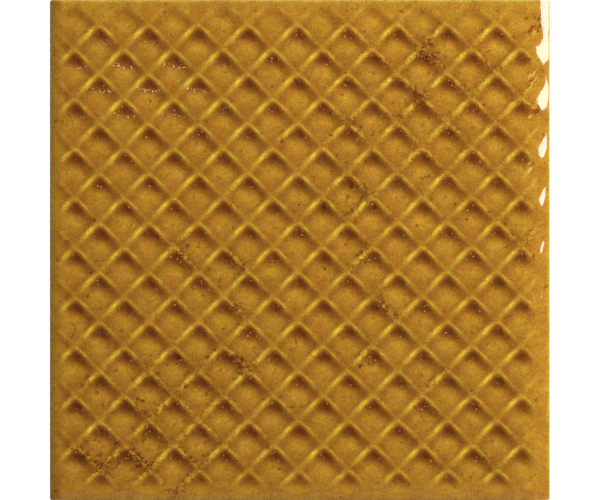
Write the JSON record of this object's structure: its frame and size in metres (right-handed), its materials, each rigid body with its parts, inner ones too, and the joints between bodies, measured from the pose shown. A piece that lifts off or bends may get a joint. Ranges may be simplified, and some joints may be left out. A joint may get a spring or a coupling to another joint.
{
  "type": "wall tile",
  "caption": "Square glazed wall tile with a raised diagonal lattice and shallow diamond pockets on its face, and key grooves in its back.",
  "frame": {"origin": "middle of the tile's back, on the plane that the back's lands lie in", "axes": "+Z out of the glazed face, +X to the tile's right side and +Y to its upper side as pictured; the tile lies on its back"},
  "size_m": [0.2, 0.2, 0.008],
  "materials": {
    "honey_glaze": "glossy translucent honey-amber glaze, thinner and yellower on the ridges and brown where it pools"
  },
  "bodies": {
    "root": {"wall_tile": "honey_glaze"}
  },
  "joints": []
}
